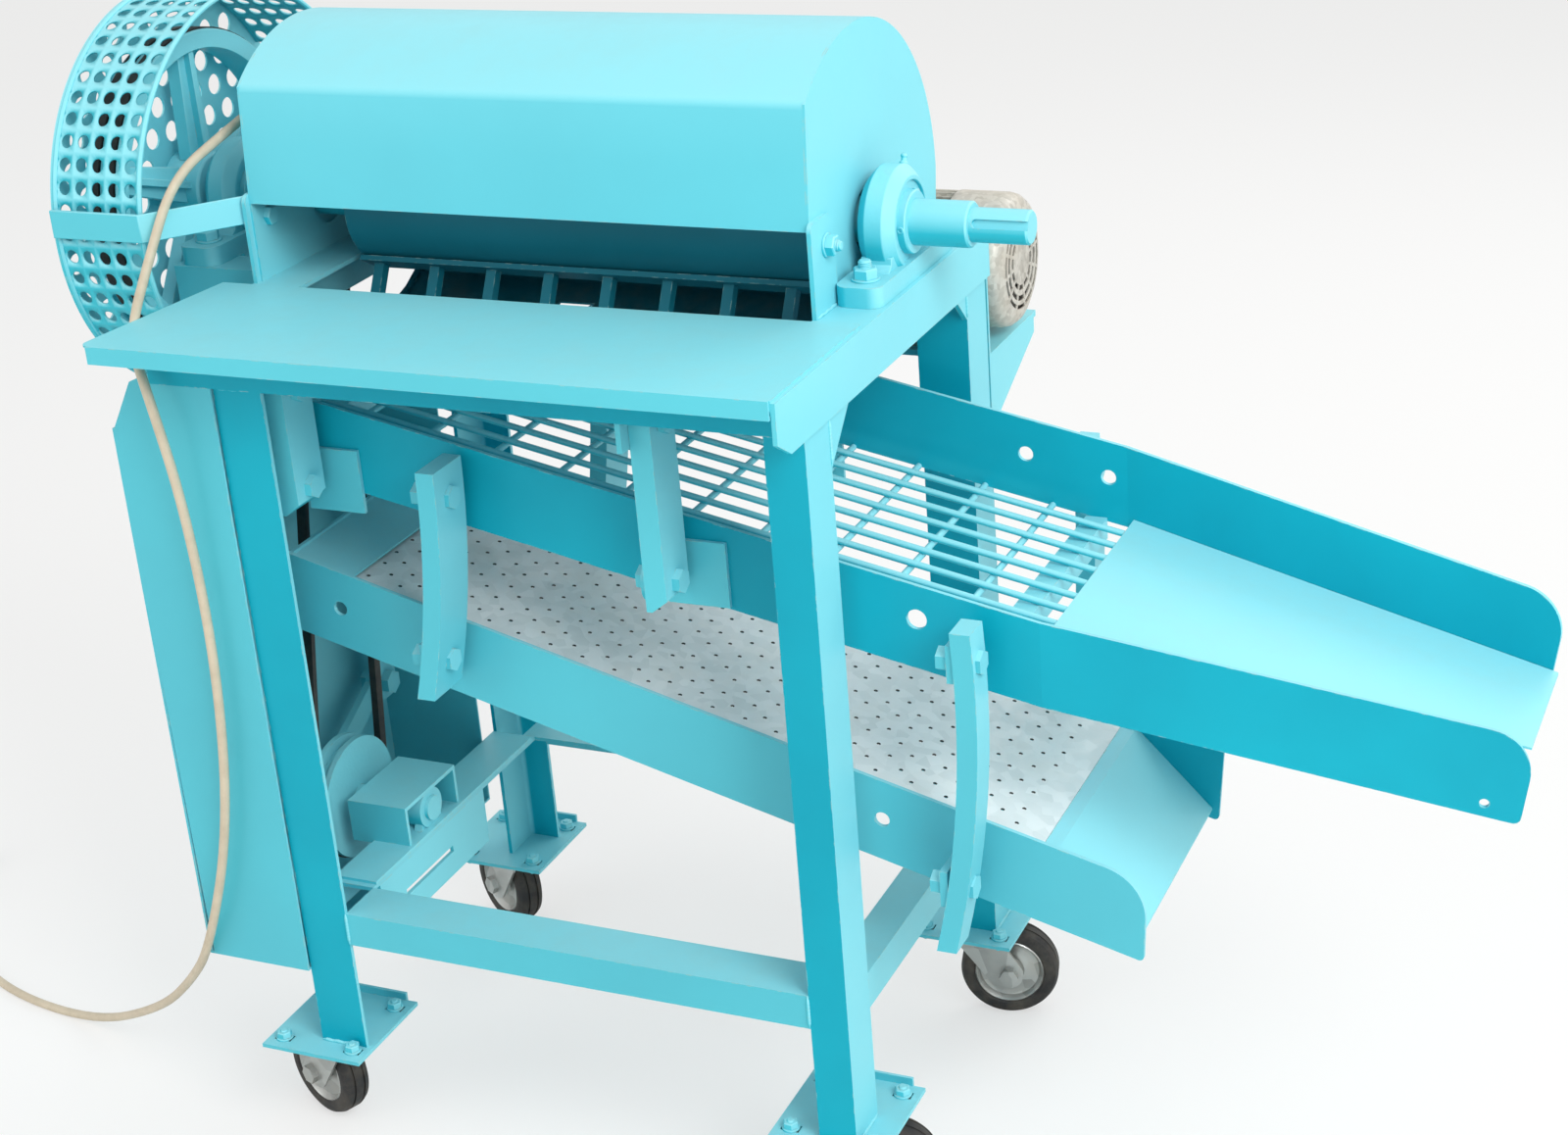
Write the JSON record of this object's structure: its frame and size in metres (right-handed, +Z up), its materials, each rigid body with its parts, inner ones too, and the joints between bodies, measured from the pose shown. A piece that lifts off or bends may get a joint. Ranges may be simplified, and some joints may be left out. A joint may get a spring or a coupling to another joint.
{
  "type": "peanut picker",
  "caption": "Stationary crop picking machine: a spiked drum under a sheet hood on an angle-steel frame with casters, belt drives and two shaken sloping trays.",
  "frame": {"origin": "on the ground, at the middle of the machine's outline seen from above; the power cord doesn't count", "axes": "+Z up, +X along the drum towards the keyed shaft end and the chute, -Y towards the feeding side"},
  "size_m": [1.9059, 0.623, 1.0762],
  "materials": {
    "enamelled_steel": "sky blue alkyd enamel on steel",
    "galvanised_steel": "zinc coated steel",
    "bright_steel": "turned steel",
    "painted_cast_iron": "cast iron, painted",
    "wheel_rubber": "black rubber tyre on a pressed rim",
    "belt_rubber": "rubber V belt",
    "motor_casing": "grey cast casing",
    "cord_sheath": "dusty beige cable sheath",
    "plug_plastic": "black moulded plastic"
  },
  "bodies": {
    "frame": {"legs": "enamelled_steel", "top_rails_side": "enamelled_steel", "top_rails_cross": "enamelled_steel", "low_rails_long": "enamelled_steel", "low_rails_side": "enamelled_steel", "foot_plates": "enamelled_steel", "feed_table": "enamelled_steel", "hood_cover": "enamelled_steel", "hood_ends": "enamelled_steel", "hood_posts": "enamelled_steel", "frame_bolts": "enamelled_steel", "concave_bars": "enamelled_steel", "concave_frame": "enamelled_steel", "bearing_housings": "painted_cast_iron", "bearing_arms": "enamelled_steel", "drive_belts": "belt_rubber", "guard_band": "enamelled_steel", "guard_back": "enamelled_steel", "belt_guard": "enamelled_steel", "crank_bracket": "enamelled_steel", "hanger_lugs": "enamelled_steel", "motor_body": "motor_casing", "motor_base": "enamelled_steel", "line_shaft_brackets": "painted_cast_iron", "caster_heads": "galvanised_steel", "cord_run": "cord_sheath", "cord_coil": "cord_sheath", "cord_plug": "plug_plastic"},
    "drum_rotor": {"main_shaft": "enamelled_steel", "bearing_rings": "enamelled_steel", "drum_tube": "enamelled_steel", "drum_bars": "enamelled_steel", "big_pulley": "painted_cast_iron", "shaker_pulley": "painted_cast_iron"},
    "crank_rotor": {"crank": "painted_cast_iron"},
    "pitman_rod": {"pitman": "enamelled_steel"},
    "line_rotor": {"line_shaft": "bright_steel"},
    "shaker": {"upper_front_board": "enamelled_steel", "upper_rear_board": "enamelled_steel", "rod_grid": "enamelled_steel", "chute_floor": "enamelled_steel", "lower_front_board": "enamelled_steel", "lower_rear_board": "enamelled_steel", "lower_sheet": "galvanised_steel", "lower_end": "enamelled_steel", "lower_chute": "enamelled_steel", "links": "enamelled_steel", "shaker_lugs": "enamelled_steel"},
    "front_left_hanger": {"hanger_front_left": "enamelled_steel"},
    "front_right_hanger": {"hanger_front_right": "enamelled_steel"},
    "rear_left_hanger": {"hanger_rear_left": "enamelled_steel"},
    "rear_right_hanger": {"hanger_rear_right": "enamelled_steel"},
    "front_right_fork": {"fork_front_right": "galvanised_steel"},
    "front_right_wheel": {"wheel_front_right": "wheel_rubber"},
    "front_left_fork": {"fork_front_left": "galvanised_steel"},
    "front_left_wheel": {"wheel_front_left": "wheel_rubber"},
    "rear_right_fork": {"fork_rear_right": "galvanised_steel"},
    "rear_right_wheel": {"wheel_rear_right": "wheel_rubber"},
    "rear_left_fork": {"fork_rear_left": "galvanised_steel"},
    "rear_left_wheel": {"wheel_rear_left": "wheel_rubber"}
  },
  "joints": [
    {"name": "drum_spin", "type": "hinge", "parent": "frame", "child": "drum_rotor", "pos_m": [0, 0.0105, 0.8852], "axis": [1, 0, 0], "continuous": true},
    {"name": "crank_spin", "type": "hinge", "parent": "frame", "child": "crank_rotor", "pos_m": [0, -0.0775, 0.283], "axis": [1, 0, 0], "continuous": true},
    {"name": "pitman_pin", "type": "hinge", "parent": "crank_rotor", "child": "pitman_rod", "pos_m": [-0.54195, -0.07502, 0.27809], "axis": [1, 0, 0], "continuous": true},
    {"name": "line_spin", "type": "hinge", "parent": "frame", "child": "line_rotor", "pos_m": [0, 0.2455, 0.779], "axis": [1, 0, 0], "continuous": true},
    {"name": "front_left_swing", "type": "hinge", "parent": "frame", "child": "front_left_hanger", "pos_m": [-0.40595, -0.2115, 0.774], "axis": [1, 0, 0], "range_deg": [-3.5, 3.5]},
    {"name": "front_right_swing", "type": "hinge", "parent": "frame", "child": "front_right_hanger", "pos_m": [-0.04795, -0.2115, 0.774], "axis": [1, 0, 0], "range_deg": [-2.3, 2.3]},
    {"name": "rear_left_swing", "type": "hinge", "parent": "frame", "child": "rear_left_hanger", "pos_m": [-0.40595, 0.1125, 0.774], "axis": [1, 0, 0], "range_deg": [-3.5, 3.5]},
    {"name": "rear_right_swing", "type": "hinge", "parent": "frame", "child": "rear_right_hanger", "pos_m": [-0.04795, 0.1125, 0.774], "axis": [1, 0, 0], "range_deg": [-2.3, 2.3]},
    {"name": "shaker_pivot", "type": "hinge", "parent": "front_left_hanger", "child": "shaker", "pos_m": [-0.40595, -0.2115, 0.683], "axis": [1, 0, 0], "range_deg": [-3.5, 3.5]},
    {"name": "front_right_swivel", "type": "hinge", "parent": "frame", "child": "front_right_fork", "pos_m": [0.08005, -0.2055, 0.1052], "axis": [0, 0, 1], "continuous": true},
    {"name": "front_right_roll", "type": "hinge", "parent": "front_right_fork", "child": "front_right_wheel", "pos_m": [0.1102, -0.19208, 0.05], "axis": [-0.4067, 0.9135, 0], "continuous": true},
    {"name": "front_left_swivel", "type": "hinge", "parent": "frame", "child": "front_left_fork", "pos_m": [-0.45295, -0.2215, 0.1052], "axis": [0, 0, 1], "continuous": true},
    {"name": "front_left_roll", "type": "hinge", "parent": "front_left_fork", "child": "front_left_wheel", "pos_m": [-0.48355, -0.20914, 0.05], "axis": [-0.3746, -0.9272, 0], "continuous": true},
    {"name": "rear_right_swivel", "type": "hinge", "parent": "frame", "child": "rear_right_fork", "pos_m": [0.07605, 0.1515, 0.1052], "axis": [0, 0, 1], "continuous": true},
    {"name": "rear_right_roll", "type": "hinge", "parent": "rear_right_fork", "child": "rear_right_wheel", "pos_m": [0.10793, 0.16004, 0.05], "axis": [-0.2588, 0.9659, 0], "continuous": true},
    {"name": "rear_left_swivel", "type": "hinge", "parent": "frame", "child": "rear_left_fork", "pos_m": [-0.45795, 0.1515, 0.1052], "axis": [0, 0, 1], "continuous": true},
    {"name": "rear_left_roll", "type": "hinge", "parent": "rear_left_fork", "child": "rear_left_wheel", "pos_m": [-0.48653, 0.168, 0.05], "axis": [-0.5, -0.866, 0], "continuous": true}
  ],
  "couplings": [
    {"joint": "crank_spin", "follows": "drum_spin", "ratio": 0.6396},
    {"joint": "pitman_pin", "follows": "drum_spin", "ratio": -0.6396},
    {"joint": "line_spin", "follows": "drum_spin", "ratio": 4.0423},
    {"joint": "rear_left_swing", "follows": "front_left_swing", "ratio": 1},
    {"joint": "front_right_swing", "follows": "front_left_swing", "ratio": 0.6319},
    {"joint": "rear_right_swing", "follows": "front_left_swing", "ratio": 0.6319},
    {"joint": "shaker_pivot", "follows": "front_left_swing", "ratio": -1}
  ]
}
